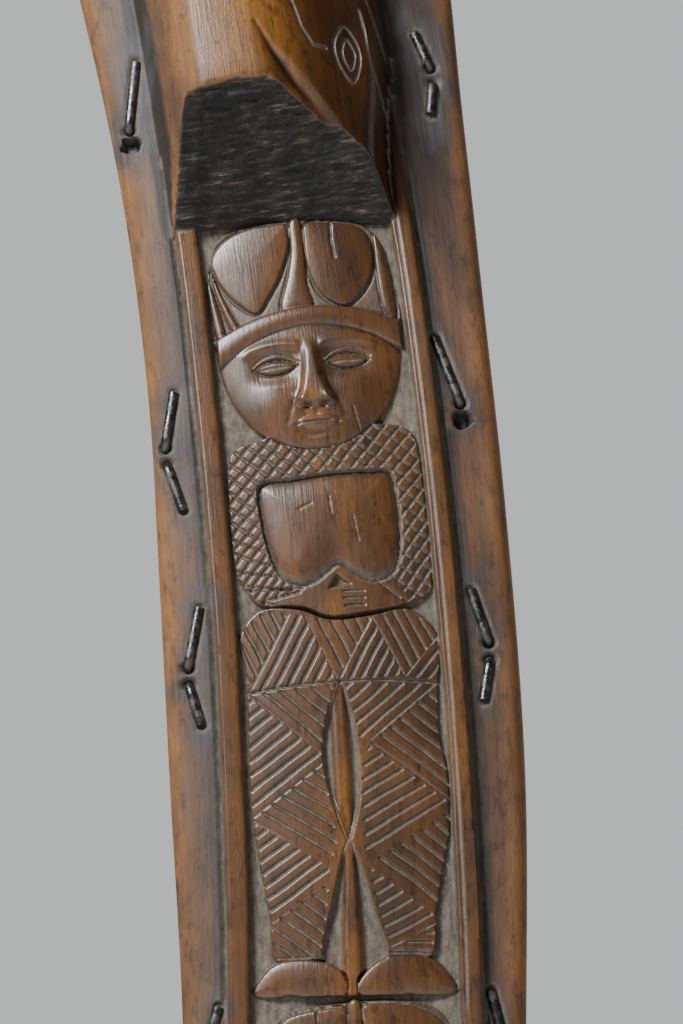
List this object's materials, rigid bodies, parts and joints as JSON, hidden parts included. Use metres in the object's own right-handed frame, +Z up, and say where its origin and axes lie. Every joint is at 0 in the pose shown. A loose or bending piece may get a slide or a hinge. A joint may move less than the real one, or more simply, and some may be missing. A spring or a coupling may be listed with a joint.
{
  "type": "knife sheath",
  "caption": "Curved carved hardwood knife sheath with a raised belt boss, relief figure panels, an open back and iron wire ties across the blade channel.",
  "frame": {"origin": "centre of the belt-cord hole that runs through the raised boss", "axes": "+X along the belt-cord hole, to the right seen from the carved front; +Y from the carved front to the open back; +Z up towards the mouth"},
  "size_m": [0.0925, 0.0384, 0.4915],
  "materials": {
    "hardwood": "hand-polished old hardwood with dust in the carved lines and worn honey-coloured edges",
    "iron_wire": "blackened iron wire with brown rust"
  },
  "bodies": {
    "root": {"sheath_body": "hardwood", "tie_1_upper_wire": "iron_wire", "tie_1_lower_wire": "iron_wire", "tie_2_upper_wire": "iron_wire", "tie_2_lower_wire": "iron_wire", "tie_3_upper_wire": "iron_wire", "tie_3_lower_wire": "iron_wire", "tie_4_upper_wire": "iron_wire", "tie_4_lower_wire": "iron_wire", "tie_5_upper_wire": "iron_wire", "tie_5_lower_wire": "iron_wire", "tie_6_upper_wire": "iron_wire", "tie_6_lower_wire": "iron_wire", "tie_7_upper_wire": "iron_wire", "tie_7_lower_wire": "iron_wire", "tie_8_upper_wire": "iron_wire", "tie_8_lower_wire": "iron_wire"}
  },
  "joints": []
}
